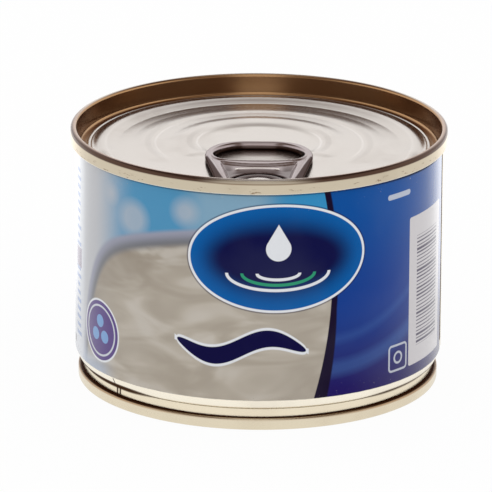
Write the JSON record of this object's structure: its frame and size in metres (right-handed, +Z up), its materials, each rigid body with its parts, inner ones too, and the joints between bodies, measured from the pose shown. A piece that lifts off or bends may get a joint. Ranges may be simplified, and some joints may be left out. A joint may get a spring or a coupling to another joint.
{
  "type": "table cream can",
  "caption": "Squat round tinplate can with a ring-pull easy-open end, rolled double seams, a necked-in stacking foot and a wrap-round print of plain blue and cream fields.",
  "frame": {"origin": "middle of the foot, on the surface that the can stands on", "axes": "+Z up along the can's axis; -Y is the front of the print, towards which the ring pull's nose points; +X is the side with the weld"},
  "size_m": [0.0752, 0.0752, 0.052],
  "materials": {
    "printed_wall": "glossy printed tinplate, blue and cream fields",
    "bright_tinplate": "bright lacquered tinplate with a faint rolling grain",
    "tab_steel": "darker satin steel with polished edges"
  },
  "bodies": {
    "root": {"can_body": "printed_wall", "top_end": "bright_tinplate", "pull_tab": "tab_steel", "bottom_end": "bright_tinplate"}
  },
  "joints": []
}
